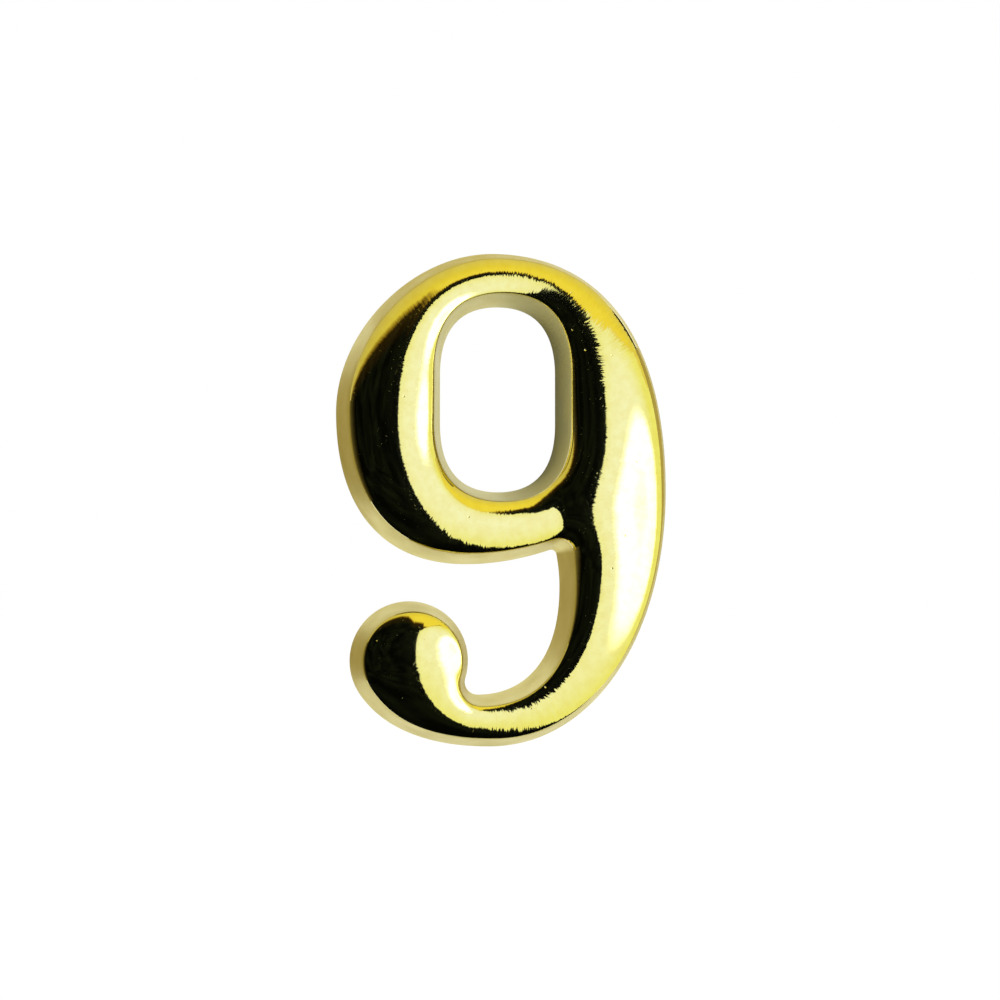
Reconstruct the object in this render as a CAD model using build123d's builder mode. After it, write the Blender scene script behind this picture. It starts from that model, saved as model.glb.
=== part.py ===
"""House number 9: one brass casting with drafted sides, an arched polished face and a flat back.

Millimetres. +Z is up, the face looks along -Y, and the flat back lies on the plane Y = 0.
The origin is at the middle of the numeral's outline, on its back.
"""

import math
import os

from build123d import *

# Overall size of the outline at the back
height = 50.0
width = 33.7

# Widths of the stroke at the back, at its thickest and thinnest places
top_stroke = 5.45
left_stroke = 10.55
foot_stroke = 7.3
stem_stroke = 11.4
tail_stroke = 5.25

# The ball that ends the tail, and the open throat between it and the bowl
ball_radius = 6.0
ball_rise = 8.7
ball_inset = 1.4
throat = 3.75
neck_radius = 1.3

# The notch where the underside of the bowl meets the stem
notch_rise = 1.65
notch_radius = 0.55
stem_step = 0.45
stem_turn = 2.3

# Straight length in each side of the counter, the hole in the bowl; its rounded ends share the rest
counter_side_length = 5.0

# Where the outline turns: each extreme point, measured from the origin
top_turn_x = -0.9
left_turn_z = 8.8
foot_turn_x = -3.7
foot_lift_x = 0.8
right_turn_z = 1.1
tail_turn_x = -1.2

# Fullness of each quarter turn: 0.55 is an ellipse, more is squarer
top_left_fullness = 0.51
top_right_fullness = 0.64
foot_left_fullness = 0.64
tail_right_fullness = 0.58
tail_inner_fullness = 0.63
counter_fullness = 0.66

# The tail leaves the ball's circle at this angle, with these handle lengths
tail_angle = 215.0
tail_lead_length = 4.0
tail_run_length = 6.5

# Section of the stroke: drafted sides, and an arch that springs at one height and rises with the width
draft_angle = 11.3
spring_height = 4.0
arch_ratio = 0.5

# Places that follow from the sizes above
top, bottom = height / 2, -height / 2
right, left = width / 2, -width / 2
ball_x = left + ball_inset + ball_radius
ball_z = bottom + ball_rise
bowl_bottom = ball_z + ball_radius + throat
counter_left = left + left_stroke
counter_right = right - stem_stroke
counter_top = top - top_stroke
counter_bottom = bowl_bottom + foot_stroke
counter_x = (counter_left + counter_right) / 2
counter_shoulder = (counter_top - counter_bottom - counter_side_length) / 2
shoulder_top = counter_top - counter_shoulder
shoulder_bottom = counter_bottom + counter_shoulder
stem_inner = counter_right + stem_step
stem_turn_z = bowl_bottom - stem_turn
notch_slope = notch_rise / (counter_right - foot_lift_x)

# The neck's arc touches the top of the tail and the ball's circle
neck_z = bottom + tail_stroke + neck_radius
neck_x = ball_x + math.sqrt((ball_radius + neck_radius) ** 2 - (neck_z - ball_z) ** 2)
neck_angle = math.degrees(math.atan2(neck_z - ball_z, neck_x - ball_x))


def polar(centre_x, centre_z, radius, angle):
    """The point at an angle on a circle."""
    return (
        centre_x + radius * math.cos(math.radians(angle)),
        centre_z + radius * math.sin(math.radians(angle)),
    )


def quarter(start, end, fullness, upright):
    """A quarter turn between two extreme points; upright ones leave along Z, the others along X."""
    run, rise = fullness * (end[0] - start[0]), fullness * (end[1] - start[1])
    if upright:
        return Bezier(start, (start[0], start[1] + rise), (end[0] - run, end[1]), end)
    return Bezier(start, (start[0] + run, start[1]), (end[0], end[1] - rise), end)


def outer_outline(inset):
    """Edges of the outer outline drawn in by inset, anticlockwise from the top as the face is seen."""
    underside = bowl_bottom + inset
    top_point = (top_turn_x, top - inset)
    left_point = (left + inset, left_turn_z)
    foot_point = (foot_turn_x, underside)
    notch = (counter_right + inset, underside + notch_slope * (counter_right + inset - foot_lift_x))
    stem_point = (stem_inner + inset, stem_turn_z)
    neck_point = (neck_x, neck_z - neck_radius - inset)
    ball_end = polar(ball_x, ball_z, ball_radius - inset, tail_angle)
    tail_handle = polar(*ball_end, tail_lead_length, tail_angle + 90)
    tail_approach = (tail_turn_x - tail_run_length, bottom + inset)
    tail_point = (tail_turn_x, bottom + inset)
    right_point = (right - inset, right_turn_z)
    return {
        "top_left": quarter(top_point, left_point, top_left_fullness, upright=False),
        "foot_left": quarter(left_point, foot_point, foot_left_fullness, upright=True),
        "foot_under": Bezier(foot_point, (foot_lift_x, underside), notch),
        "stem_side": Bezier(notch, (stem_point[0], (notch[1] + stem_turn_z) / 2), stem_point),
        "tail_inner": quarter(stem_point, neck_point, tail_inner_fullness, upright=True),
        "neck": CenterArc((neck_x, neck_z), neck_radius + inset, 270, neck_angle - 90),
        "ball": CenterArc((ball_x, ball_z), ball_radius - inset, neck_angle, tail_angle - neck_angle),
        "tail_under": Bezier(ball_end, tail_handle, tail_approach, tail_point),
        "tail_right": quarter(tail_point, right_point, tail_right_fullness, upright=False),
        "top_right": quarter(right_point, top_point, top_right_fullness, upright=True),
    }


def counter_outline(inset):
    """Edges of the counter, opened out by the same inset, anticlockwise from its top."""
    top_point = (counter_x, counter_top + inset)
    foot_point = (counter_x, counter_bottom - inset)
    left_x, right_x = counter_left - inset, counter_right + inset
    return {
        "top_left": quarter(top_point, (left_x, shoulder_top), counter_fullness, upright=False),
        "left_side": Line((left_x, shoulder_top), (left_x, shoulder_bottom)),
        "foot_left": quarter((left_x, shoulder_bottom), foot_point, counter_fullness, upright=True),
        "foot_right": quarter(foot_point, (right_x, shoulder_bottom), counter_fullness, upright=False),
        "right_side": Line((right_x, shoulder_bottom), (right_x, shoulder_top)),
        "top_right": quarter((right_x, shoulder_top), top_point, counter_fullness, upright=True),
    }


def numeral_sketch(plane, inset):
    """The whole numeral on a plane, drawn in by inset, with its notch rounded."""
    outline = outer_outline(inset)
    with BuildSketch(plane) as sketch:
        with BuildLine():
            add(outline.values())
        make_face()
        notch = sketch.vertices().sort_by_distance(outline["stem_side"] @ 0)[0]
        fillet(notch, notch_radius + inset)
        with BuildLine():
            add(counter_outline(inset).values())
        make_face(mode=Mode.SUBTRACT)
    return sketch.sketch


def along(edge, start, stop, count):
    """Points at equal steps along an edge, leaving out its starting point."""
    return [edge @ (start + (stop - start) * step / count) for step in range(1, count + 1)]


def arch(start, end):
    """One arched section across the stroke, with legs that reach into the block below."""
    middle = (start + end) / 2
    across = Vector(end.X - start.X, 0, end.Y - start.Y)
    half = across.length / 2
    foot, crest = spring_height / 2, spring_height + arch_ratio * half
    plane = Plane((middle.X, 0, middle.Y), x_dir=across, z_dir=across.cross(Vector(0, -1, 0)))
    with BuildSketch(plane) as section:
        with BuildLine():
            ThreePointArc((-half, spring_height), (0, crest), (half, spring_height))
            Polyline((half, spring_height), (half, foot), (-half, foot), (-half, spring_height))
        make_face()
    return section.sketch


outer = outer_outline(inset=0)
counter = counter_outline(inset=0)
ball_side = CenterArc((ball_x, ball_z), ball_radius, neck_angle, tail_angle - 180 - neck_angle)

# The foot of the bowl, from the left side to the stem: points on its two edges, in pairs
foot_outer = [outer["foot_left"] @ 0]
foot_outer += along(outer["foot_left"], 0, 1, 4)
foot_outer += along(outer["foot_under"], 0, 1, 2)
foot_inner = [counter["left_side"] @ 0.5]
foot_inner += along(counter["left_side"], 0.5, 1, 1)
foot_inner += along(counter["foot_left"], 0, 1, 3)
foot_inner += along(counter["foot_right"], 0, 0.5, 2)

# The foot runs on into the stem, so that the two arches meet there in a valley
into_stem = Vector(stem_stroke / 2, 0)
foot_outer.append(foot_outer[-1] + into_stem)
foot_inner.append(foot_inner[-1] + into_stem)

# The long stroke, from the left side over the top, down the stem and round the tail to the ball
stroke_outer = [outer["top_left"] @ 1]
stroke_outer += along(outer["top_left"], 1, 0, 4)
stroke_outer += along(outer["top_right"], 1, 0, 6)
stroke_outer += along(outer["tail_right"], 1, 0, 6)
stroke_outer += along(outer["tail_under"], 1, 0, 3)
stroke_inner = [counter["left_side"] @ 0.5]
stroke_inner += along(counter["left_side"], 0.5, 0, 1)
stroke_inner += along(counter["top_left"], 1, 0, 3)
stroke_inner += along(counter["top_right"], 1, 0, 3)
stroke_inner += along(counter["right_side"], 1, 0, 2)
stroke_inner += along(counter["foot_right"], 1, 0.5, 1)
stroke_inner += along(outer["stem_side"], 0, 1, 2)
stroke_inner += along(outer["tail_inner"], 0, 1, 4)
stroke_inner += along(outer["neck"], 0, 1, 1)
stroke_inner += along(ball_side, 0, 1, 2)

foot_pairs = list(zip(foot_outer, foot_inner))
stroke_pairs = list(zip(stroke_outer, stroke_inner))

# The drafted blank stands a tenth higher than the tallest arch
widest = max((end - start).length for start, end in foot_pairs + stroke_pairs)
blank_height = 1.1 * (spring_height + arch_ratio * widest / 2)
blank_inset = blank_height * math.tan(math.radians(draft_angle))

# Half of the arch across the ball, turned about the ball's middle for the ball's own dome
ball_outward = Vector(*polar(0, 0, 1, tail_angle))
ball_plane = Plane((ball_x, 0, ball_z), z_dir=(ball_outward.X, 0, ball_outward.Y))
ball_half = split(arch(stroke_inner[-1], stroke_outer[-1]), bisect_by=ball_plane)

with BuildPart() as dome:
    with BuildSketch(Plane.XZ):
        Rectangle(2 * width, 2 * height)
    extrude(amount=spring_height)
    loft([arch(start, end) for start, end in foot_pairs])
    loft([arch(start, end) for start, end in stroke_pairs])
    revolve(ball_half, axis=Axis((ball_x, 0, ball_z), (0, 1, 0)), revolution_arc=180)

with BuildPart() as numeral:
    back = numeral_sketch(Plane.XZ, inset=0)
    front = numeral_sketch(Plane.XZ.offset(blank_height), inset=blank_inset)
    loft([back, front])
    add(dome.part, mode=Mode.INTERSECT)

numeral.part.label = "numeral"
os.makedirs("parts", exist_ok=True)
export_step(numeral.part, "parts/numeral.step")
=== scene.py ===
# %% [markdown]
# House number, a nine in polished brass.
# The real thing is one casting: a numeral 50 mm tall with sides that lean in, a domed face polished
# until it mirrors the room, and a flat back that sits on a door.
# The imported part is loaded first. It fixes where everything is, in metres, with +Z up and the face
# looking along -Y. Its box is kept.

# %% The imported part
import math

import bpy
import numpy as np
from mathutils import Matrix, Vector, geometry


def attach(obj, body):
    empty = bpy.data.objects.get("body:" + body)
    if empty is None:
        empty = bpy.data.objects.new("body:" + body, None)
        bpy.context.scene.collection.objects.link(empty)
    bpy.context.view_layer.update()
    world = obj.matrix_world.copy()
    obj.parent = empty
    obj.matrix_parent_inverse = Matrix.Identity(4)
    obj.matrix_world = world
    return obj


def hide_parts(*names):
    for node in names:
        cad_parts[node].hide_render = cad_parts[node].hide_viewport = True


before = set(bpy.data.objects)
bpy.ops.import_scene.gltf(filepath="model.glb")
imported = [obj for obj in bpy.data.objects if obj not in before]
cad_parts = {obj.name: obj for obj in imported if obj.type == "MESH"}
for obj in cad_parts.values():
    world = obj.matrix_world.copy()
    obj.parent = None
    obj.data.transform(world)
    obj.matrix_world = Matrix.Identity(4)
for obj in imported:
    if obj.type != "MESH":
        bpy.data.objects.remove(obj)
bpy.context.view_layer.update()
MM = 0.001

# %% [markdown]
# The outline.
# A numeral like this is drawn as a type designer draws it: an extreme point at each side of every
# stroke, and one quarter turn between two of them. Tracing dots from a picture would give a lumpy edge,
# and a lumpy edge shows at once in polished metal, so the outline is the same short list of sizes
# as the part itself, in millimetres. Each line can be drawn in by an inset, because the sides lean.

# %% Sizes of the outline in millimetres
HEIGHT, WIDTH = 50.0, 33.7
TOP_STROKE, LEFT_STROKE, FOOT_STROKE, STEM_STROKE, TAIL_STROKE = 5.45, 10.55, 7.3, 11.4, 5.25
BALL_RADIUS, BALL_RISE, BALL_INSET, THROAT, NECK_RADIUS = 6.0, 8.7, 1.4, 3.75, 1.3
NOTCH_RISE, NOTCH_RADIUS, STEM_STEP, STEM_TURN = 1.65, 0.55, 0.45, 2.3
COUNTER_SIDE = 5.0
TOP_TURN_X, LEFT_TURN_Z, FOOT_TURN_X, FOOT_LIFT_X = -0.9, 8.8, -3.7, 0.8
RIGHT_TURN_Z, TAIL_TURN_X = 1.1, -1.2
TOP_LEFT_FULL, TOP_RIGHT_FULL, FOOT_LEFT_FULL = 0.51, 0.64, 0.64
TAIL_RIGHT_FULL, TAIL_INNER_FULL, COUNTER_FULL = 0.58, 0.63, 0.66
TAIL_ANGLE, TAIL_LEAD, TAIL_RUN = 215.0, 4.0, 6.5

top, bottom, right, left = HEIGHT / 2, -HEIGHT / 2, WIDTH / 2, -WIDTH / 2
ball_x, ball_z = left + BALL_INSET + BALL_RADIUS, bottom + BALL_RISE
bowl_bottom = ball_z + BALL_RADIUS + THROAT
counter_left, counter_right = left + LEFT_STROKE, right - STEM_STROKE
counter_top, counter_bottom = top - TOP_STROKE, bowl_bottom + FOOT_STROKE
counter_x = (counter_left + counter_right) / 2
shoulder = (counter_top - counter_bottom - COUNTER_SIDE) / 2
stem_turn_z = bowl_bottom - STEM_TURN
notch_slope = NOTCH_RISE / (counter_right - FOOT_LIFT_X)
neck_z = bottom + TAIL_STROKE + NECK_RADIUS
neck_x = ball_x + math.sqrt((BALL_RADIUS + NECK_RADIUS) ** 2 - (neck_z - ball_z) ** 2)
neck_angle = math.degrees(math.atan2(neck_z - ball_z, neck_x - ball_x))
print("counter in mm:", round(counter_right - counter_left, 2), "x", round(counter_top - counter_bottom, 2))

# %% Curves
FINE = 800


def bezier(*points):
    """A Bezier curve as closely spaced points."""
    share = np.linspace(0, 1, FINE)[:, None]
    level = [np.array(point, float) for point in points]
    while len(level) > 1:
        level = [(1 - share) * a + share * b for a, b in zip(level[:-1], level[1:])]
    return level[0]


def quarter(start, end, full, upright):
    """A quarter turn between two extreme points; upright ones leave along Z, the others along X."""
    run, rise = full * (end[0] - start[0]), full * (end[1] - start[1])
    if upright:
        return bezier(start, (start[0], start[1] + rise), (end[0] - run, end[1]), end)
    return bezier(start, (start[0] + run, start[1]), (end[0], end[1] - rise), end)


def arc(x, z, radius, start, sweep):
    """An arc of a circle, its angles in degrees."""
    angle = np.radians(start + sweep * np.linspace(0, 1, FINE))
    return np.column_stack([x + radius * np.cos(angle), z + radius * np.sin(angle)])


def rounded(first, second, radius):
    """Two lines that meet in an inner corner, cut back, with the arc that rounds the corner."""
    def beside(line):
        ahead = np.gradient(line, axis=0)
        aside = np.column_stack([ahead[:, 1], -ahead[:, 0]])
        return line + radius * aside / np.linalg.norm(ahead, axis=1)[:, None]
    near, far = beside(first), beside(second)
    gap = np.linalg.norm(near[:, None] - far[None], axis=2)
    i, j = np.unravel_index(gap.argmin(), gap.shape)
    centre = (near[i] + far[j]) / 2
    start, stop = [math.degrees(math.atan2(*(p - centre)[::-1])) for p in (first[i], second[j])]
    return first[:i + 1], arc(*centre, radius, start, -((start - stop) % 360)), second[j:]


def length_of(line):
    return np.linalg.norm(np.diff(line, axis=0), axis=1).sum()


print("half round the ball:", round(length_of(arc(ball_x, ball_z, BALL_RADIUS, 0, 180)), 2), "mm")

# %% Lines of the outline


def outer_lines(inset):
    """The outer outline drawn in by inset, anticlockwise from the top as the face is seen."""
    under = bowl_bottom + inset
    top_point, left_point = (TOP_TURN_X, top - inset), (left + inset, LEFT_TURN_Z)
    foot_point = (FOOT_TURN_X, under)
    notch_x = counter_right + inset
    notch = (notch_x, under + notch_slope * (notch_x - FOOT_LIFT_X))
    stem_point = (notch_x + STEM_STEP, stem_turn_z)
    neck_point = (neck_x, neck_z - NECK_RADIUS - inset)
    ball = arc(ball_x, ball_z, BALL_RADIUS - inset, neck_angle, TAIL_ANGLE - neck_angle)
    lead = np.radians(TAIL_ANGLE + 90)
    tail_handle = ball[-1] + TAIL_LEAD * np.array([np.cos(lead), np.sin(lead)])
    tail_point, right_point = (TAIL_TURN_X, bottom + inset), (right - inset, RIGHT_TURN_Z)
    underside = bezier(foot_point, (FOOT_LIFT_X, under), notch)
    stem_side = bezier(notch, (stem_point[0], (notch[1] + stem_turn_z) / 2), stem_point)
    return [
        quarter(top_point, left_point, TOP_LEFT_FULL, upright=False),
        quarter(left_point, foot_point, FOOT_LEFT_FULL, upright=True),
        *rounded(underside, stem_side, NOTCH_RADIUS + inset),
        quarter(stem_point, neck_point, TAIL_INNER_FULL, upright=True),
        arc(neck_x, neck_z, NECK_RADIUS + inset, 270, neck_angle - 90),
        ball,
        bezier(ball[-1], tail_handle, (TAIL_TURN_X - TAIL_RUN, bottom + inset), tail_point),
        quarter(tail_point, right_point, TAIL_RIGHT_FULL, upright=False),
        quarter(right_point, top_point, TOP_RIGHT_FULL, upright=True),
    ]


def counter_lines(inset):
    """The counter, the hole in the bowl, opened out by inset."""
    top_point, foot_point = (counter_x, counter_top + inset), (counter_x, counter_bottom - inset)
    left_x, right_x = counter_left - inset, counter_right + inset
    high, low = counter_top - shoulder, counter_bottom + shoulder
    return [
        quarter(top_point, (left_x, high), COUNTER_FULL, upright=False),
        bezier((left_x, high), (left_x, low)),
        quarter((left_x, low), foot_point, COUNTER_FULL, upright=True),
        quarter(foot_point, (right_x, low), COUNTER_FULL, upright=False),
        bezier((right_x, low), (right_x, high)),
        quarter((right_x, high), top_point, COUNTER_FULL, upright=True),
    ]


print("lines:", len(outer_lines(0.0)), "round the numeral and", len(counter_lines(0.0)), "round the counter")

# %% [markdown]
# Rings around the outline.
# The side wall, the edge and the rim of the face all follow the outline. Each is a ring of points, and
# every ring has the same number of points, so that neighbours join in clean four-sided faces.
# The wall leans in from the back outline to the edge of the face, a millimetre further in.

# %% Rings
EDGE_HEIGHT, EDGE_INSET = 5.0, 1.0
WALL_RISES = [0.0, 0.25, 0.5, 0.78, 1.0]
RIM_STEPS = [0.4, 0.7]
RING_STEP = 0.2
FEWEST_POINTS = 4


def even(line, count):
    """A line at equal steps, without its last point."""
    run = np.r_[0, np.cumsum(np.linalg.norm(np.diff(line, axis=0), axis=1))]
    at = np.linspace(0, run[-1], count, endpoint=False)
    return np.column_stack([np.interp(at, run, line[:, axis]) for axis in (0, 1)])


def counts_for(lines):
    return [max(FEWEST_POINTS, round(length_of(line) / RING_STEP)) for line in lines]


outer_counts, counter_counts = counts_for(outer_lines(EDGE_INSET)), counts_for(counter_lines(EDGE_INSET))
outer_size, counter_size = sum(outer_counts), sum(counter_counts)
ring_size = outer_size + counter_size


def ring(inset):
    """One ring of points: the outer outline, then the counter."""
    outer = [even(line, count) for line, count in zip(outer_lines(inset), outer_counts)]
    hole = [even(line, count) for line, count in zip(counter_lines(inset), counter_counts)]
    return np.concatenate(outer + hole)


rings = [ring(rise * EDGE_INSET) for rise in WALL_RISES] + [ring(EDGE_INSET + step) for step in RIM_STEPS]
edge_ring, last_ring = len(WALL_RISES) - 1, len(rings) - 1
print("points in a ring:", outer_size, "outside and", counter_size, "in the counter;", len(rings), "rings")

# %% [markdown]
# The flat drawing of the face.
# Inside the last ring the face is filled with an even pattern of points, as in a honeycomb, and a
# Delaunay triangulation joins them. Even triangles bend the mirror image evenly, and long thin ones
# would break it up. At this stage everything still lies flat.

# %% Points inside the outline
FACE_STEP = 0.2
FACE_CLEARANCE = 0.7 * FACE_STEP


def inside(points, loop):
    """Which points lie inside a closed loop."""
    x, z = points[:, 0:1], points[:, 1:2]
    a, b = loop, np.roll(loop, -1, axis=0)
    spans = (a[:, 1] > z) != (b[:, 1] > z)
    rise = np.where(b[:, 1] == a[:, 1], 1.0, b[:, 1] - a[:, 1])
    return (spans & (x < a[:, 0] + (z - a[:, 1]) * (b[:, 0] - a[:, 0]) / rise)).sum(1) % 2 == 1


def distance(points, loops):
    """How far each point is from the nearest point of the loops."""
    return np.linalg.norm(points[:, None] - loops[None], axis=2).min(1)


def in_blocks(test, points, size=2000):
    return np.concatenate([test(points[k:k + size]) for k in range(0, len(points), size)])


def honeycomb(loops):
    """Evenly spread points between the outer loop and the counter, clear of both."""
    row = FACE_STEP * math.sqrt(3) / 2
    columns, rows = int(WIDTH / FACE_STEP) + 2, int(HEIGHT / row) + 2
    i, j = np.meshgrid(np.arange(columns), np.arange(rows))
    points = np.column_stack([(left + (i + j % 2 / 2) * FACE_STEP).ravel(), (bottom + j * row).ravel()])
    outer, hole = loops[:outer_size], loops[outer_size:]
    points = points[in_blocks(lambda p: inside(p, outer) & ~inside(p, hole), points)]
    return points[in_blocks(lambda p: distance(p, loops) > FACE_CLEARANCE, points)]


filling = honeycomb(rings[last_ring])
print("points on the face:", len(filling))

# %% The face and the back as triangles
MERGE_GAP = 1e-7


def loop_edges(first):
    """Vertex pairs around the two loops of a ring whose points start at first."""
    outer, hole = np.arange(outer_size) + first, np.arange(counter_size) + first + outer_size
    return np.concatenate([np.column_stack([loop, np.roll(loop, -1)]) for loop in (outer, hole)])


def triangles_between(loops, filling):
    """Triangles that fill the space between the loops, using the filling points."""
    points = np.concatenate([loops, filling])
    flat = [Vector(point) for point in points]
    edges = [tuple(map(int, pair)) for pair in loop_edges(0)]
    made = geometry.delaunay_2d_cdt(flat, edges, [], 1, MERGE_GAP)
    source = np.array([origin[0] for origin in made[3]])
    triangles = source[np.array(made[2])]
    middle = points[triangles].mean(1)
    return triangles[~in_blocks(lambda p: inside(p, loops[outer_size:]), middle)]


face_triangles = triangles_between(rings[last_ring], filling)
back_triangles = triangles_between(rings[0], np.zeros((0, 2)))
print("triangles:", len(face_triangles), "on the face and", len(back_triangles), "on the back")

# %% Faces between the rings
flat_points = np.concatenate(rings + [filling])
filling_start = ring_size * len(rings)
last_points = np.arange(ring_size) + ring_size * last_ring
edge_points = np.arange(ring_size) + ring_size * edge_ring
face_faces = np.r_[last_points, np.arange(len(filling)) + filling_start][face_triangles]


def strip(low, high):
    """Four-sided faces between two neighbouring rings."""
    a, b = loop_edges(low * ring_size).T
    c, d = loop_edges(high * ring_size).T
    faces = np.column_stack([a, b, d, c])
    faces[outer_size:] = faces[outer_size:, ::-1]
    return faces


wall_strips = np.concatenate([strip(k, k + 1) for k in range(edge_ring)])
rim_strips = np.concatenate([strip(k, k + 1) for k in range(edge_ring, last_ring)])
rim_triangles = np.concatenate([rim_strips[:, [0, 1, 2]], rim_strips[:, [0, 2, 3]]])
film_triangles = np.concatenate([rim_triangles, face_faces])
print("four-sided faces:", len(wall_strips), "on the wall and", len(rim_strips), "on the rim")

# %% [markdown]
# The swelling of the face.
# The face is domed like a soap film blown up through the outline: high where the stroke is wide, low
# where it is thin. Sweeping an arch along each stroke would leave a seam where the foot of the bowl
# runs into the stem, so the film itself is worked out. It is the membrane equation, solved on the
# triangles by conjugate gradients, with the edge held at zero. Between foot and stem the two arches of
# the casting meet in a soft valley, so the film is held down there by springs along a short line.

# %% Membrane under even pressure
MOST_TURNS = 2000
SETTLED = 1e-18


def membrane(points, triangles, held, springs):
    """Height of a film over flat triangles under even pressure, zero where held and pulled by springs."""
    count = len(points)
    corners = points[triangles]
    pairs, weights = [], []
    load = np.zeros(count)
    for k in range(3):
        a, b, c = (corners[:, (k + s) % 3] for s in range(3))
        u, v = b - a, c - a
        area = u[:, 0] * v[:, 1] - u[:, 1] * v[:, 0]
        weights.append((u * v).sum(1) / np.abs(area) / 2)
        pairs.append(triangles[:, [(k + 1) % 3, (k + 2) % 3]])
        load += np.bincount(triangles[:, k], np.abs(area) / 6, count)
    i, j = np.concatenate(pairs).T
    weight = np.concatenate(weights)
    whole = np.bincount(i, weight, count) + np.bincount(j, weight, count) + springs * load
    free = np.ones(count)
    free[held] = 0
    whole[whole == 0] = 1

    def stiffness(x):
        pulled = whole * x - np.bincount(i, weight * x[j], count) - np.bincount(j, weight * x[i], count)
        return free * pulled

    height = np.zeros(count)
    rest = free * load
    step = rest / whole
    energy = rest @ step
    for turn in range(MOST_TURNS):
        push = stiffness(step)
        share = energy / (step @ push)
        height += share * step
        rest = rest - share * push
        eased = rest / whole
        new_energy = rest @ eased
        if new_energy < SETTLED:
            break
        step = eased + new_energy / energy * step
        energy = new_energy
    print("membrane settled in", turn, "turns, highest value", round(height.max(), 3), "square mm")
    return height


# %% The film over the face, with its valley
VALLEY = [(4.9, 1.4), (6.1, -4.2)]
VALLEY_WIDTH, VALLEY_HOLD = 0.5, 0.5

valley_start, valley_end = np.array(VALLEY)
valley = valley_end - valley_start
along = np.clip((flat_points - valley_start) @ valley / (valley @ valley), 0, 1)
off_line = np.linalg.norm(flat_points - valley_start - along[:, None] * valley, axis=1)
springs = VALLEY_HOLD * np.exp(-(off_line / VALLEY_WIDTH) ** 2 / 2)
film = membrane(flat_points, film_triangles, edge_points, springs)
print("springs pull at", int((springs > VALLEY_HOLD / 2).sum()), "points along the valley")

# %% [markdown]
# The way of the polishing lines.
# A buffing wheel is held across the stroke, so its lines run from edge to edge. That is the way the film
# falls, and each point of the face keeps it. A line has no front or back, so it is kept as the
# cosine and sine of twice its angle, which lets neighbours be averaged without cancelling out.

# %% Direction across the stroke
SMOOTHING_PASSES = 80
NO_FALL = 1e-9


def across_stroke(points, triangles, height, passes):
    """Cosine and sine of twice the angle of the film's fall, smoothed over the neighbours."""
    a, b, c = triangles.T
    u, v = points[b] - points[a], points[c] - points[a]
    hu, hv = height[b] - height[a], height[c] - height[a]
    area = u[:, 0] * v[:, 1] - u[:, 1] * v[:, 0]
    fall_x = (hu * v[:, 1] - hv * u[:, 1]) / area
    fall_z = (hv * u[:, 0] - hu * v[:, 0]) / area
    double = np.column_stack([fall_x ** 2 - fall_z ** 2, 2 * fall_x * fall_z])
    corners = triangles.ravel()
    touching = np.maximum(np.bincount(corners, minlength=len(points)), 1)[:, None]
    for _ in range(passes):
        spread = np.repeat(double, 3, axis=0)
        sums = [np.bincount(corners, part, len(points)) for part in spread.T]
        at_points = np.column_stack(sums) / touching
        double = at_points[triangles].mean(1)
    return at_points / np.maximum(np.linalg.norm(at_points, axis=1), NO_FALL)[:, None]


across = across_stroke(flat_points, film_triangles, film, SMOOTHING_PASSES)
print("direction kept at", int((np.abs(across).sum(1) > 0).sum()), "points")

# %% [markdown]
# Colours and nodes.
# Colours are written as a painter would note them, as sRGB hex values, and one function turns them
# into the linear light that the shaders use. One more function adds a node with its settings, its
# values and its links, for materials and Geometry Nodes alike. Noise rarely strays far from a half, so
# two ranges around a half are kept here for turning it into a full swing.

# %% Helpers for colours and nodes
NARROW = {"From Min": 0.35, "From Max": 0.65}
BROAD = {"From Min": 0.3, "From Max": 0.7}


def linear(hex_colour):
    """An sRGB hex colour as linear red, green, blue and alpha."""
    channels = [int(hex_colour[k:k + 2], 16) / 255 for k in (1, 3, 5)]
    return [c / 12.92 if c <= 0.04045 else ((c + 0.055) / 1.055) ** 2.4 for c in channels] + [1.0]


def add(tree, kind, inputs=None, **settings):
    """A new node; an input is a value to set or an output to link."""
    node = tree.nodes.new(kind)
    for name, value in settings.items():
        setattr(node, name, value)
    for key, value in (inputs or {}).items():
        if isinstance(value, bpy.types.NodeSocket):
            tree.links.new(value, node.inputs[key])
        else:
            node.inputs[key].default_value = value
    return node


def new_material(name):
    """An empty material and its node tree."""
    material = bpy.data.materials.new(name)
    material.use_nodes = True
    material.node_tree.nodes.clear()
    return material, material.node_tree


def oval(tree, place, middle, sizes, soft, values):
    """One value inside an oval and another outside it; its middle and half sizes are in millimetres."""
    shape = add(tree, "ShaderNodeMapping",
                {"Vector": place, "Location": Vector(middle) * MM, "Scale": Vector(sizes) * MM},
                vector_type="TEXTURE")
    radius = add(tree, "ShaderNodeVectorMath", {0: shape.outputs[0]}, operation="LENGTH")
    return add(tree, "ShaderNodeMapRange",
               {"Value": radius.outputs["Value"], "From Min": 1 - soft, "From Max": 1 + soft,
                "To Min": values[0], "To Max": values[1]}, interpolation_type="SMOOTHSTEP").outputs["Result"]


print("a middle grey in linear light:", round(linear("#808080")[0], 3))

# %% [markdown]
# Polished brass.
# Brass is copper with zinc, here a lemon yellow one, buffed to a mirror and lacquered. A metal's colour
# is the colour of its reflection, so Base Color is what the brass does to white light, and the lacquer
# is a thin coat over it. The wheel leaves faint lines, which fray the borders between light and dark,
# most of all where it rubbed hardest: at the top and the upper right, on the foot of the bowl and on the
# tail. Handling leaves short scratches, casting a few tiny pits, and the lacquer is faintly cloudy.
# The lines follow the surface: six stretched noises point in six directions, and each counts
# where the stroke runs its way. Real lines and scratches are finer still, and these are drawn as
# coarse as they need to show. A bump would blur them, so they tilt the normal directly.

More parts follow.
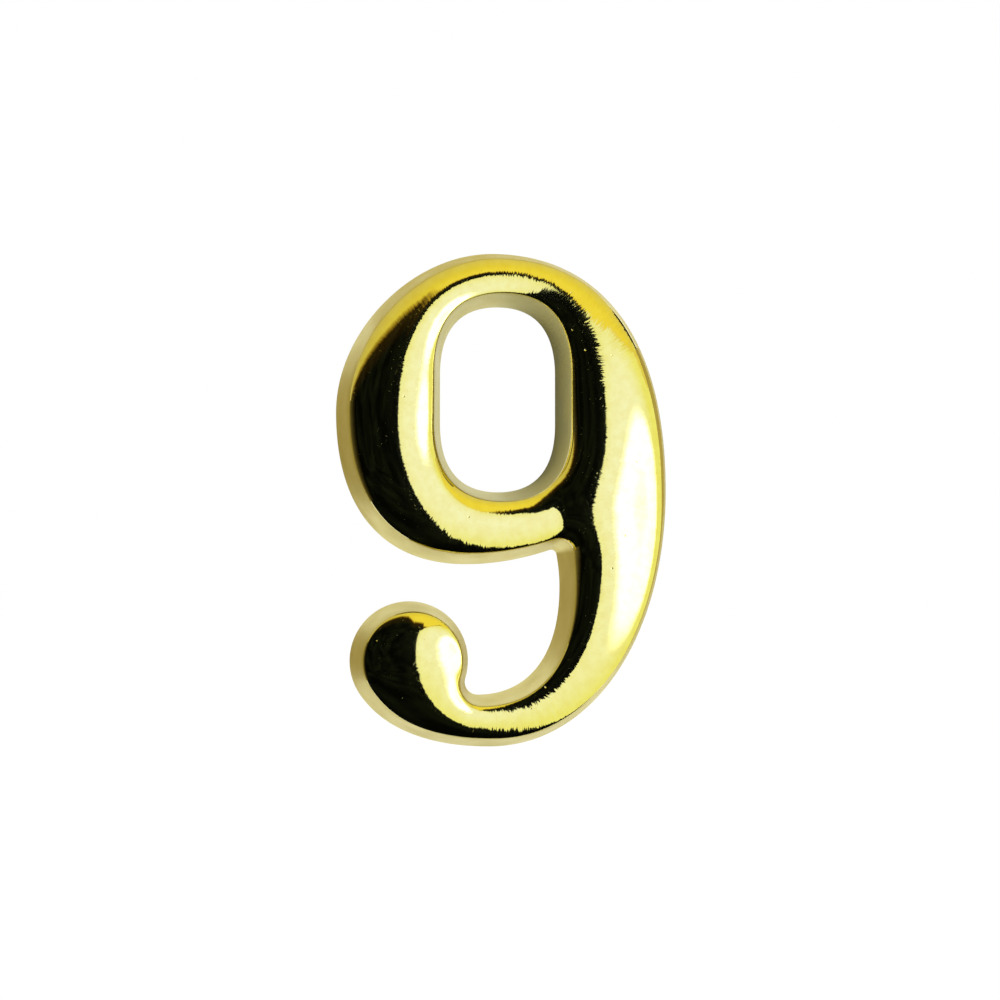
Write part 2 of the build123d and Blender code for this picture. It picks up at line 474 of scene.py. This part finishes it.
# %% Material: polished brass, its lines
LINE_WIDTH, LINE_LENGTH = 0.13 * MM, 1.6 * MM
LINE_WAYS = 6

polished, tree = new_material("polished lacquered brass")
place = add(tree, "ShaderNodeTexCoord").outputs["Object"]
way = add(tree, "ShaderNodeAttribute", attribute_name="across").outputs["Vector"]
tilt = None
for k in range(LINE_WAYS):
    turn = math.pi * k / LINE_WAYS
    turned = add(tree, "ShaderNodeMapping",
                 {"Vector": place, "Rotation": (0, -turn, 0),
                  "Scale": (LINE_LENGTH, LINE_LENGTH, LINE_WIDTH)}, vector_type="TEXTURE")
    noise = add(tree, "ShaderNodeTexNoise",
                {"Vector": turned.outputs[0], "W": k, "Scale": 1.0, "Detail": 2.0}, noise_dimensions="4D")
    swing = add(tree, "ShaderNodeMath", {0: noise.outputs["Fac"], 1: 0.5}, operation="SUBTRACT")
    match = add(tree, "ShaderNodeVectorMath",
                {0: way, 1: (math.cos(2 * turn), math.sin(2 * turn), 0)}, operation="DOT_PRODUCT")
    share = add(tree, "ShaderNodeMapRange", {"Value": match.outputs["Value"], "From Min": 0.5})
    push = add(tree, "ShaderNodeMath",
               {0: swing.outputs[0], 1: share.outputs["Result"]}, operation="MULTIPLY")
    lean = add(tree, "ShaderNodeVectorMath",
               {0: (math.cos(turn), 0, math.sin(turn)), "Scale": push.outputs[0]}, operation="SCALE")
    lean = lean.outputs[0]
    tilt = lean if tilt is None else add(tree, "ShaderNodeVectorMath", {0: tilt, 1: lean}).outputs[0]
print("polishing lines of", round(LINE_WIDTH / MM, 2), "mm in", LINE_WAYS, "directions")

# %% Material: polished brass, how deep its lines are
FAINT_TILT, LINE_TILT = 0.04, 0.1
PATCH_SIZE = 5.0 * MM
# Rubbed places: middle and half sizes in millimetres, and the tilt of the lines there
RUBBED = [
    ((9, -6, 17), (5, 6, 6), 0.28), ((3, -6, 22), (5, 6, 4), 0.22),
    ((-3, -6, -5), (9, 6, 4), 0.3), ((4, -6, -22), (8, 6, 4), 0.36),
]
RUBBED_SOFT = 0.5

patches = add(tree, "ShaderNodeTexNoise", {"Vector": place, "Scale": 1 / PATCH_SIZE, "Detail": 2.0})
patches = patches.outputs["Fac"]
strength = add(tree, "ShaderNodeMapRange",
               {"Value": patches, **NARROW, "To Min": FAINT_TILT, "To Max": LINE_TILT}).outputs["Result"]
for middle, half_sizes, deepest in RUBBED:
    deeper = oval(tree, place, middle, half_sizes, RUBBED_SOFT, (deepest, 0.0))
    strength = add(tree, "ShaderNodeMath", {0: strength, 1: deeper}, operation="MAXIMUM").outputs[0]
tilt = add(tree, "ShaderNodeVectorMath", {0: tilt, "Scale": strength}, operation="SCALE").outputs[0]
plain = add(tree, "ShaderNodeNewGeometry").outputs["Normal"]
lined = add(tree, "ShaderNodeVectorMath", {0: plain, 1: tilt}).outputs[0]
lined = add(tree, "ShaderNodeVectorMath", {0: lined}, operation="NORMALIZE").outputs[0]
print("rubbed places:", len(RUBBED), "and", len(tree.nodes), "nodes so far")

# %% Material: polished brass, its pits and scratches
PIT_SPACING, PIT_RADIUS, PIT_DEPTH = 1.3 * MM, 0.1105 * MM, 0.05 * MM
PIT_THRESHOLD, PIT_ROUGHNESS = 0.8, 0.4
SCRATCH_WIDTH, SCRATCH_LENGTH = 0.08 * MM, 0.5 * MM
SCRATCH_TURNS = [25, 120]
SCRATCH_RANGE = {"From Min": 0.75, "From Max": 0.85, "To Max": 0.25}
POLISH_ROUGHNESS = {"To Min": 0.03, "To Max": 0.06}

cells = add(tree, "ShaderNodeTexVoronoi", {"Vector": place, "Scale": 1 / PIT_SPACING, "Randomness": 1.0})
chance = add(tree, "ShaderNodeSeparateColor", {"Color": cells.outputs["Color"]})
chosen = add(tree, "ShaderNodeMath",
             {0: chance.outputs["Red"], 1: PIT_THRESHOLD}, operation="GREATER_THAN")
near_pit = add(tree, "ShaderNodeMapRange",
               {"Value": cells.outputs["Distance"], "From Max": PIT_RADIUS / PIT_SPACING,
                "To Min": 1.0, "To Max": 0.0})
pits = add(tree, "ShaderNodeMath",
           {0: near_pit.outputs["Result"], 1: chosen.outputs[0]}, operation="MULTIPLY").outputs[0]
pitted = add(tree, "ShaderNodeBump",
             {"Height": pits, "Distance": PIT_DEPTH, "Strength": 1.0, "Normal": lined},
             invert=True).outputs["Normal"]
smooth = add(tree, "ShaderNodeMapRange", {"Value": patches, **BROAD, **POLISH_ROUGHNESS})
rough = add(tree, "ShaderNodeMath",
            {0: pits, 1: PIT_ROUGHNESS, 2: smooth.outputs["Result"]}, operation="MULTIPLY_ADD")
for turn in SCRATCH_TURNS:
    turned = add(tree, "ShaderNodeMapping",
                 {"Vector": place, "Rotation": (0, math.radians(turn), 0),
                  "Scale": (SCRATCH_LENGTH, SCRATCH_LENGTH, SCRATCH_WIDTH)}, vector_type="TEXTURE")
    noise = add(tree, "ShaderNodeTexNoise",
                {"Vector": turned.outputs[0], "W": turn, "Scale": 1.0, "Detail": 0.0}, noise_dimensions="4D")
    scratch = add(tree, "ShaderNodeMapRange", {"Value": noise.outputs["Fac"], **SCRATCH_RANGE})
    rough = add(tree, "ShaderNodeMath", {0: rough.outputs[0], 1: scratch.outputs["Result"]})
print("nodes with pits and scratches:", len(tree.nodes))

# %% Material: polished brass, its tone and shader
CLOUD_SIZE = 0.9 * MM
COAT_WEIGHT, COAT_ROUGHNESS = 0.2, 0.25

clouds = add(tree, "ShaderNodeTexNoise", {"Vector": place, "Scale": 1 / CLOUD_SIZE, "Detail": 4.0})
cloudy = add(tree, "ShaderNodeMapRange", {"Value": clouds.outputs["Fac"], **NARROW})
tone = add(tree, "ShaderNodeMix",
           {"Factor": cloudy.outputs["Result"], "A": linear("#F6EDB4"), "B": linear("#F2E6A5")},
           data_type="RGBA")
brass = add(tree, "ShaderNodeBsdfPrincipled",
            {"Base Color": tone.outputs["Result"], "Metallic": 1.0, "Roughness": rough.outputs[0],
             "Normal": pitted, "Coat Weight": COAT_WEIGHT, "Coat Roughness": COAT_ROUGHNESS})
add(tree, "ShaderNodeOutputMaterial", {"Surface": brass.outputs["BSDF"]})
print("material:", polished.name, len(tree.nodes), "nodes")

# %% [markdown]
# Satin brass.
# The sides and the back were never buffed. They keep the fine sandy skin of the casting, so they
# scatter what they reflect and look pale and khaki beside the face. The grain is drawn a little
# coarser than moulding sand, so that it shows.

# %% Material: satin brass
GRAIN_SIZE, GRAIN_DEPTH = 0.16 * MM, 0.012 * MM
SKIN_CLOUD_SIZE = 3 * MM
SATIN_ROUGHNESS = {"To Min": 0.38, "To Max": 0.5}

satin, tree = new_material("satin cast brass")
place = add(tree, "ShaderNodeTexCoord").outputs["Object"]
grain = add(tree, "ShaderNodeTexNoise", {"Vector": place, "Scale": 1 / GRAIN_SIZE, "Detail": 2.0})
grainy = add(tree, "ShaderNodeBump",
             {"Height": grain.outputs["Fac"], "Distance": GRAIN_DEPTH, "Strength": 1.0})
cloud = add(tree, "ShaderNodeTexNoise", {"Vector": place, "Scale": 1 / SKIN_CLOUD_SIZE, "Detail": 4.0})
tone = add(tree, "ShaderNodeMix",
           {"Factor": cloud.outputs["Fac"], "A": linear("#E2D682"), "B": linear("#D8CA76")},
           data_type="RGBA")
dull = add(tree, "ShaderNodeMapRange", {"Value": cloud.outputs["Fac"], **BROAD, **SATIN_ROUGHNESS})
brass = add(tree, "ShaderNodeBsdfPrincipled",
            {"Base Color": tone.outputs["Result"], "Metallic": 1.0, "Roughness": dull.outputs["Result"],
             "Normal": grainy.outputs["Normal"]})
add(tree, "ShaderNodeOutputMaterial", {"Surface": brass.outputs["BSDF"]})
print("material:", satin.name, len(tree.nodes), "nodes")

# %% [markdown]
# From the drawing to the casting.
# One Geometry Nodes tree raises the flat drawing. The wall climbs to the edge height, and the face
# swells by the film: the square root in the rule turns the film's parabola into a rounder arch.
# A slow, very low noise stands for what the polisher's hand left. Points carry what the rule needs as
# attributes: how far up the wall they are, and the film's value.

# %% The flat drawing as a mesh
faces = [
    *wall_strips.tolist(), *rim_strips.tolist(),
    *face_faces.tolist(), *back_triangles[:, ::-1].tolist(),
]
vertices = np.column_stack([flat_points[:, 0], np.zeros(len(flat_points)), flat_points[:, 1]]) * MM
drawing = bpy.data.meshes.new("numeral_brass")
drawing.from_pydata(vertices.tolist(), [], faces)
rises = np.ones(len(vertices))
rises[:ring_size * len(WALL_RISES)] = np.repeat(WALL_RISES, ring_size)
drawing.attributes.new("rise", "FLOAT", "POINT").data.foreach_set("value", rises)
drawing.attributes.new("film", "FLOAT", "POINT").data.foreach_set("value", film * MM ** 2)
ways = np.column_stack([across, np.zeros(len(across))])
drawing.attributes.new("across", "FLOAT_VECTOR", "POINT").data.foreach_set("vector", ways.ravel())
buffed = np.zeros(len(faces), bool)
buffed[len(wall_strips):len(faces) - len(back_triangles)] = True
drawing.attributes.new("buffed", "BOOLEAN", "FACE").data.foreach_set("value", buffed)
numeral = bpy.data.objects.new("numeral_brass", drawing)
bpy.context.scene.collection.objects.link(numeral)
print("drawing:", len(vertices), "points,", len(faces), "faces")

# %% Geometry Nodes: the inputs
raising = bpy.data.node_groups.new("raise the numeral", "GeometryNodeTree")
raising.interface.new_socket("Geometry", in_out="OUTPUT", socket_type="NodeSocketGeometry")
raising.interface.new_socket("Geometry", in_out="INPUT", socket_type="NodeSocketGeometry")
sizes = {
    "Edge Height": EDGE_HEIGHT * MM,
    "Swell": 0.55,
    "Roundness": 2.0 * MM,
    "Wave Height": 0.012 * MM,
    "Wave Length": 5.0 * MM,
    "Wave Seed": 7.0,
}
finishes = {"Face Material": polished, "Side Material": satin}
sockets = {}
for names, kind in ((sizes, "NodeSocketFloat"), (finishes, "NodeSocketMaterial")):
    for name in names:
        sockets[name] = raising.interface.new_socket(name, in_out="INPUT", socket_type=kind)
print("inputs:", ", ".join(sockets))

# %% Geometry Nodes: the wall and the arch
given = add(raising, "NodeGroupInput").outputs
kept = {}
for name, kind in {"film": "FLOAT", "rise": "FLOAT", "buffed": "BOOLEAN"}.items():
    kept[name] = add(raising, "GeometryNodeInputNamedAttribute", {"Name": name}, data_type=kind)
    kept[name] = kept[name].outputs["Attribute"]
square = add(raising, "ShaderNodeMath",
             {0: given["Roundness"], 1: given["Roundness"]}, operation="MULTIPLY")
under_root = add(raising, "ShaderNodeMath",
                 {0: kept["film"], 1: 2.0, 2: square.outputs[0]}, operation="MULTIPLY_ADD")
root = add(raising, "ShaderNodeMath", {0: under_root.outputs[0]}, operation="SQRT")
arch = add(raising, "ShaderNodeMath", {0: root.outputs[0], 1: given["Roundness"]}, operation="SUBTRACT")
side = add(raising, "ShaderNodeMath", {0: kept["rise"], 1: given["Edge Height"]}, operation="MULTIPLY")
crest = add(raising, "ShaderNodeMath",
            {0: arch.outputs[0], 1: given["Swell"], 2: side.outputs[0]}, operation="MULTIPLY_ADD")
print("nodes for the wall and the arch:", len(raising.nodes))

# %% Geometry Nodes: the wave that the polisher left
WAVE_FADE = 1.0 * MM ** 2

per_wave = add(raising, "ShaderNodeMath", {0: 1.0, 1: given["Wave Length"]}, operation="DIVIDE")
wave = add(raising, "ShaderNodeTexNoise",
           {"Scale": per_wave.outputs[0], "W": given["Wave Seed"], "Detail": 1.0}, noise_dimensions="4D")
centred = add(raising, "ShaderNodeMath", {0: wave.outputs["Fac"], 1: 0.5}, operation="SUBTRACT")
on_face = add(raising, "ShaderNodeMapRange", {"Value": kept["film"], "From Max": WAVE_FADE})
masked = add(raising, "ShaderNodeMath",
             {0: centred.outputs[0], 1: on_face.outputs["Result"]}, operation="MULTIPLY")
total = add(raising, "ShaderNodeMath",
            {0: masked.outputs[0], 1: given["Wave Height"], 2: crest.outputs[0]}, operation="MULTIPLY_ADD")
print("nodes with the wave:", len(raising.nodes))

# %% Geometry Nodes: place and finish
forward = add(raising, "ShaderNodeMath", {0: total.outputs[0], 1: -1.0}, operation="MULTIPLY")
offset = add(raising, "ShaderNodeCombineXYZ", {"Y": forward.outputs[0]})
raised = add(raising, "GeometryNodeSetPosition",
             {"Geometry": given["Geometry"], "Offset": offset.outputs[0]})
real = add(raising, "GeometryNodeRealizeInstances", {"Geometry": raised.outputs[0]})
sided = add(raising, "GeometryNodeSetMaterial",
            {"Geometry": real.outputs[0], "Material": given["Side Material"]})
faced = add(raising, "GeometryNodeSetMaterial",
            {"Geometry": sided.outputs[0], "Selection": kept["buffed"], "Material": given["Face Material"]})
add(raising, "NodeGroupOutput", {"Geometry": faced.outputs[0]})
print("tree:", raising.name, len(raising.nodes), "nodes")

# %% [markdown]
# The edge between wall and face is crisp but not sharp: buffing rubs it round by about a fifth of a
# millimetre, and it shows as a thin bright line. A Bevel modifier does this, where the edges have a
# weight. The edge at the back stays sharp, and is marked so, or the wall would be shaded as if it
# curled over into the back.

# %% Rounded edges, then a plain mesh
EDGE_ROUND, ROUND_STEPS = 0.2, 4
SHARP_ANGLE = math.radians(60)

ends = np.zeros(len(drawing.edges) * 2, int)
drawing.edges.foreach_get("vertices", ends)
rim = {frozenset(pair) for pair in loop_edges(edge_ring * ring_size).tolist()}
rounding = [float(frozenset(pair) in rim) for pair in ends.reshape(-1, 2).tolist()]
drawing.attributes.new("bevel_weight_edge", "FLOAT", "EDGE").data.foreach_set("value", rounding)
raise_step = numeral.modifiers.new("raise", "NODES")
raise_step.node_group = raising
for name, value in {**sizes, **finishes}.items():
    raise_step[sockets[name].identifier] = value
round_step = numeral.modifiers.new("rounded edges", "BEVEL")
round_step.limit_method = "WEIGHT"
round_step.width = EDGE_ROUND * MM
round_step.segments = ROUND_STEPS
round_step.use_clamp_overlap = False
casting = bpy.data.meshes.new_from_object(numeral.evaluated_get(bpy.context.evaluated_depsgraph_get()))
numeral.modifiers.clear()
numeral.data = casting
casting.name = "numeral_brass"
casting.shade_smooth()
casting.set_sharp_from_angle(angle=SHARP_ANGLE)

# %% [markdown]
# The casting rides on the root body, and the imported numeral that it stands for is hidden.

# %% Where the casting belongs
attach(numeral, "root")
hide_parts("numeral")
print(numeral.name, "stands for the packed numeral")

# %% [markdown]
# The studio.
# Polished metal is lit by what it mirrors. The numeral stands in a white room above a pale floor, and a
# black hood is hung round its front, so that the face has something dark to mirror. Inside the hood
# stand a white card with a soft window of light in it, on the right, and a gold reflector
# overhead. The hood and cards are seen only in reflections, never by the camera.

# %% The white room
WHITE = (1.0, 1.0, 1.0, 1.0)

world = bpy.data.worlds.new("white room")
bpy.context.scene.world = world
world.use_nodes = True
world.node_tree.nodes["Background"].inputs["Color"].default_value = WHITE
world.node_tree.nodes["Background"].inputs["Strength"].default_value = 1.0
world.cycles.sampling_method = "NONE"


def sheet(name, corners, material, faces=None):
    """A stage piece through corners in millimetres, as one face if none are given."""
    mesh = bpy.data.meshes.new(name)
    mesh.from_pydata([[c * MM for c in corner] for corner in corners], [], faces or [range(len(corners))])
    mesh.materials.append(material)
    piece = bpy.data.objects.new(name, mesh)
    bpy.context.scene.collection.objects.link(piece)
    return piece


def only_mirrored(piece):
    """Keeps a stage piece out of every ray but reflections."""
    piece.visible_camera = False
    piece.visible_diffuse = False
    piece.visible_transmission = False
    piece.visible_volume_scatter = False
    piece.visible_shadow = False


print("room:", world.name)

# %% The pale floor
FLOOR_Z, FLOOR_REACH = -72.0, 6000.0
FLOOR_LIFT = 0.12

floor_paint, tree = new_material("pale floor")
matt = add(tree, "ShaderNodeBsdfDiffuse", {"Color": linear("#F4F4F2")})
sight = add(tree, "ShaderNodeLightPath").outputs
seen = add(tree, "ShaderNodeMath",
           {0: sight["Is Camera Ray"], 1: sight["Is Glossy Ray"]}, operation="MAXIMUM")
seen = add(tree, "ShaderNodeMath",
           {0: seen.outputs[0], 1: sight["Is Transmission Ray"]}, operation="MAXIMUM")
lift = add(tree, "ShaderNodeMath", {0: seen.outputs[0], 1: FLOOR_LIFT}, operation="MULTIPLY")
glow = add(tree, "ShaderNodeEmission", {"Color": WHITE, "Strength": lift.outputs[0]})
both = add(tree, "ShaderNodeAddShader", {0: matt.outputs[0], 1: glow.outputs[0]})
add(tree, "ShaderNodeOutputMaterial", {"Surface": both.outputs[0]})
floor_corners = [(-1, -1), (1, -1), (1, 1), (-1, 1)]
sheet("floor", [(FLOOR_REACH * x, FLOOR_REACH * y, FLOOR_Z) for x, y in floor_corners], floor_paint)
print("floor", -FLOOR_Z, "mm below the middle of the numeral")

# %% [markdown]
# The window card.
# The broad pale bands on the face are all one card, which stands in front of the numeral on the right and
# leans back from it, like a canvas on an easel. Its left edge and foot are one round curve, because a sharp
# corner would end the bands in points. A lamp behind the card makes its middle brighter, with a dimmer
# spot where the bulb's cap shades it, and away from the middle the light turns golden.

# %% The window card
CARD_PLACE = Vector((-3.7, -71.8, 0.0))
CARD_TURN, CARD_LEAN = math.radians(33.8), math.radians(30.1)
CARD_LEFT_AND_FOOT = [(1, 37), (-3, -20), (11, -47), (50, -54)]
CARD_RIGHT_FOOT = (165, -80)
CARD_TOP = [(165, 110), (77, 95), (8, 47)]
CARD_POINT_STEP = 40
CARD_STRENGTH = 1.07
# Ovals on the card: middle and half sizes in millimetres, softness, and the values inside and outside
LAMP = ((60, -3, 0), (31, 26, 1), 0.16, (1.5, 0.0))
LAMP_CAP = ((56, -1, 0), (8, 8, 1), 0.7, (0.55, 1.0))
WARMTH = ((38, 8, 0), (40, 40, 1), 0.55, (0.0, 1.0))

card_light, tree = new_material("window card")
place = add(tree, "ShaderNodeTexCoord").outputs["Object"]
lamp, cap, warmth = (oval(tree, place, *spot) for spot in (LAMP, LAMP_CAP, WARMTH))
lamp = add(tree, "ShaderNodeMath", {0: lamp, 1: cap}, operation="MULTIPLY").outputs[0]
tone = add(tree, "ShaderNodeMix",
           {"Factor": warmth, "A": linear("#F8FFF5"), "B": linear("#EFF295")}, data_type="RGBA")
pale = add(tree, "ShaderNodeEmission", {"Color": tone.outputs["Result"], "Strength": CARD_STRENGTH})
bright = add(tree, "ShaderNodeEmission", {"Color": WHITE, "Strength": lamp})
both = add(tree, "ShaderNodeAddShader", {0: pale.outputs[0], 1: bright.outputs[0]})
add(tree, "ShaderNodeOutputMaterial", {"Surface": both.outputs[0]})
left_and_foot, card_top = bezier(*CARD_LEFT_AND_FOOT), bezier(*CARD_TOP)
card_outline = [*left_and_foot[::CARD_POINT_STEP], CARD_RIGHT_FOOT, *card_top[::CARD_POINT_STEP]]
card = sheet("window_card", [(s, v, 0) for s, v in card_outline], card_light)
card.location = CARD_PLACE * MM
card.rotation_euler = (math.pi / 2 + CARD_LEAN, 0, CARD_TURN)
only_mirrored(card)
print("window card:", len(card.data.vertices), "points on its outline")

# %% [markdown]
# The gold reflector.
# A gold sheet hangs overhead and gives the gold along the upper edges. It rises to the right and then runs
# level. Its front edge reaches forward in a tongue, to give the gold on the face its shape, and fades out
# there, because a hard edge would draw a hard line in the polish. Its points carry how lit they are, and
# the material turns deeper in colour and then clear where they aren't. It is dimmer on the left and at
# the back, and paler at the back.

# %% The light of the gold reflector
GOLD_ASIDE = {"From Min": -40 * MM, "From Max": 5 * MM, "To Min": 0.8}
GOLD_BEHIND = {"From Min": -42 * MM, "From Max": -8 * MM, "To Min": 1.0, "To Max": 0.78}
GOLD_PALER = {"From Min": -30 * MM, "From Max": 5 * MM}

gold_light, tree = new_material("gold reflector")
place = add(tree, "ShaderNodeTexCoord").outputs["Object"]
spot = add(tree, "ShaderNodeSeparateXYZ", {"Vector": place}).outputs
aside = add(tree, "ShaderNodeMapRange", {"Value": spot["X"], **GOLD_ASIDE})
behind = add(tree, "ShaderNodeMapRange", {"Value": spot["Y"], **GOLD_BEHIND})
level = add(tree, "ShaderNodeMath",
            {0: aside.outputs["Result"], 1: behind.outputs["Result"]}, operation="MULTIPLY")
lit = add(tree, "ShaderNodeAttribute", attribute_name="lit").outputs["Fac"]
paler = add(tree, "ShaderNodeMapRange", {"Value": spot["Y"], **GOLD_PALER})
tone = add(tree, "ShaderNodeMix",
           {"Factor": paler.outputs["Result"], "A": linear("#F9E958"), "B": linear("#F8ECA0")},
           data_type="RGBA")
tone = add(tree, "ShaderNodeMix",
           {"Factor": lit, "A": linear("#D49A20"), "B": tone.outputs["Result"]}, data_type="RGBA")
glow = add(tree, "ShaderNodeEmission", {"Color": tone.outputs["Result"], "Strength": level.outputs[0]})
clear = add(tree, "ShaderNodeBsdfTransparent")
fringe = add(tree, "ShaderNodeMixShader", {0: lit, 1: clear.outputs[0], 2: glow.outputs[0]})
add(tree, "ShaderNodeOutputMaterial", {"Surface": fringe.outputs[0]})
print("material:", gold_light.name, len(tree.nodes), "nodes")

# %% The gold reflector
GOLD_Z, GOLD_SLOPE, GOLD_LEVEL_X = 38.0, 0.2, 16.0
GOLD_FRONT = [
    (-90, -10), (-17, -32), (-10, -38), (-3, -60), (9, -62), (13, -68), (16, -80), (23, -80),
    (40, -51), (54, -44), (66, -28), (110, -26),
]
# Rows along the front edge: how far behind it in millimetres, and how lit the row is
GOLD_ROWS = [(-28, 0.0), (-6, 0.035), (4, 1.0)]
GOLD_BACK, GOLD_RIGHT_BACK, GOLD_RIGHT_X = 24.0, -15.0, 28.0

corners, shares = [], []
for x, front in GOLD_FRONT:
    height = GOLD_Z + GOLD_SLOPE * min(x, GOLD_LEVEL_X)
    back = GOLD_BACK if x < GOLD_RIGHT_X else GOLD_RIGHT_BACK
    corners += [(x, front + step, height) for step, share in GOLD_ROWS] + [(x, back, height)]
    shares += [share for step, share in GOLD_ROWS] + [1.0]
rows = len(GOLD_ROWS) + 1
quads = [(k, k + rows, k + rows + 1, k + 1) for k in range(len(corners) - rows) if k % rows < rows - 1]
gold = sheet("gold_reflector", corners, gold_light, quads)
gold.data.attributes.new("lit", "FLOAT", "POINT").data.foreach_set("value", shares)
only_mirrored(gold)
print("gold reflector:", len(quads), "faces")

# %% [markdown]
# Flaps and shade.
# Two gold flaps at the sides warm the satin walls. They darken towards the front, so that they draw no gold
# lines in the dark bands. A glowing grey card closes the counter at the back, dimmer on the right: it is
# painted shade for the hollow of the counter, which the counter's walls mirror; without it they would
# mirror the white room and look flat.

# %% The gold flaps
FLAP_RISE = 70
FLAP_STRENGTH = 0.5


def flap(name, x, back_y, dark_y, bright_y):
    """A gold flap at one side, which darkens towards the front; sizes in millimetres."""
    light, tree = new_material(name)
    place = add(tree, "ShaderNodeTexCoord").outputs["Object"]
    spot = add(tree, "ShaderNodeSeparateXYZ", {"Vector": place}).outputs
    near = add(tree, "ShaderNodeMapRange",
               {"Value": spot["Y"], "From Min": dark_y * MM, "From Max": bright_y * MM,
                "To Max": FLAP_STRENGTH}, interpolation_type="SMOOTHSTEP")
    glow = add(tree, "ShaderNodeEmission", {"Color": linear("#F6E08A"), "Strength": near.outputs["Result"]})
    add(tree, "ShaderNodeOutputMaterial", {"Surface": glow.outputs[0]})
    low, high = -FLAP_RISE, FLAP_RISE
    piece = sheet(name, [(x, dark_y, low), (x, back_y, low), (x, back_y, high), (x, dark_y, high)], light)
    only_mirrored(piece)
    return piece


flaps = [
    flap("flap_right", x=126, back_y=220, dark_y=-70, bright_y=10),
    flap("flap_left", x=-126, back_y=300, dark_y=-70, bright_y=130),
]
print("flaps:", ", ".join(piece.name for piece in flaps))

# %% The shade behind the counter
# Painted shade: the card's glow runs from nearly white on the left to dim on the right.
SHADE_FALL = {"From Min": -1 * MM, "From Max": 4 * MM, "To Min": 0.98, "To Max": 0.2}

shade_light, tree = new_material("painted counter shade")
place = add(tree, "ShaderNodeTexCoord").outputs["Object"]
spot = add(tree, "ShaderNodeSeparateXYZ", {"Vector": place}).outputs
falling = add(tree, "ShaderNodeMapRange", {"Value": spot["X"], **SHADE_FALL})
glow = add(tree, "ShaderNodeEmission", {"Color": linear("#EEF2FF"), "Strength": falling.outputs["Result"]})
add(tree, "ShaderNodeOutputMaterial", {"Surface": glow.outputs[0]})
counter_shade = sheet("counter_shade", [(x, 0, z) for x, z in rings[0][outer_size:]], shade_light)
only_mirrored(counter_shade)
print("shade:", len(counter_shade.data.vertices), "points round the counter")

# %% [markdown]
# The black hood.
# Polished brass in an all-white room looks like yellow paint: it is the dark that makes it metal. The
# hood is black velvet on five sides, open at the back, and it glows faintly in patches, as folds would
# catch a little light: painted dim light, only just lighter than black.

# %% The black hood
FOLD_SIZE = 70 * MM
FOLD_LIGHT = {"From Min": 0.4, "From Max": 0.75, "To Min": 0.002, "To Max": 0.012}
HOOD_X, HOOD_FRONT, HOOD_BACK, HOOD_TOP = 260.0, -520.0, 8.0, 240.0
HOOD_CLEARANCE = 2.0
HOOD_FOOT = FLOOR_Z + HOOD_CLEARANCE

velvet, tree = new_material("black velvet")
place = add(tree, "ShaderNodeTexCoord").outputs["Object"]
# Painted dim light: a slow noise sets how faintly the velvet glows.
folds = add(tree, "ShaderNodeTexNoise", {"Vector": place, "Scale": 1 / FOLD_SIZE, "Detail": 4.0})
fold_glow = add(tree, "ShaderNodeMapRange", {"Value": folds.outputs["Fac"], **FOLD_LIGHT})
dim = add(tree, "ShaderNodeEmission", {"Color": linear("#D6F5C8"), "Strength": fold_glow.outputs["Result"]})
add(tree, "ShaderNodeOutputMaterial", {"Surface": dim.outputs[0]})
x0, y0, z0 = -HOOD_X, HOOD_FRONT, HOOD_FOOT
x1, y1, z1 = HOOD_X, HOOD_BACK, HOOD_TOP
hood_sides = {
    "hood_left": [(x0, y0, z0), (x0, y1, z0), (x0, y1, z1), (x0, y0, z1)],
    "hood_right": [(x1, y0, z0), (x1, y1, z0), (x1, y1, z1), (x1, y0, z1)],
    "hood_front": [(x0, y0, z0), (x1, y0, z0), (x1, y0, z1), (x0, y0, z1)],
    "hood_foot": [(x0, y0, z0), (x1, y0, z0), (x1, y1, z0), (x0, y1, z0)],
    "hood_roof": [(x0, y0, z1), (x1, y0, z1), (x1, y1, z1), (x0, y1, z1)],
}
for name, corners in hood_sides.items():
    only_mirrored(sheet(name, corners, velvet))
print("hood:", len(hood_sides), "sheets")

# %% [markdown]
# The camera stands in front, a little to the left and a little below the middle, as the
# photograph was taken: the left walls of the strokes show and the right ones hide.

# %% Camera
CAMERA_PLACE = Vector((-36.4, -322.0, -8.7)) * MM
CAMERA_AIM = Vector((-0.18, 0.0, -0.03)) * MM
PIXELS_PER_MM, PICTURE_WIDTH = 9.85, 1000
SENSOR_WIDTH = 36.0

sight_line = CAMERA_AIM - CAMERA_PLACE
lens = bpy.data.cameras.new("camera")
lens.sensor_width = SENSOR_WIDTH
lens.lens = SENSOR_WIDTH * PIXELS_PER_MM * sight_line.length / MM / PICTURE_WIDTH
lens.clip_start, lens.clip_end = 0.01, 20.0
camera = bpy.data.objects.new("camera", lens)
camera.location = CAMERA_PLACE
camera.rotation_euler = sight_line.to_track_quat("-Z", "Y").to_euler()
bpy.context.scene.collection.objects.link(camera)
bpy.context.scene.camera = camera
bpy.context.scene.view_settings.view_transform = "Standard"
print("lens", round(lens.lens, 1), "mm at", round(sight_line.length / MM), "mm")
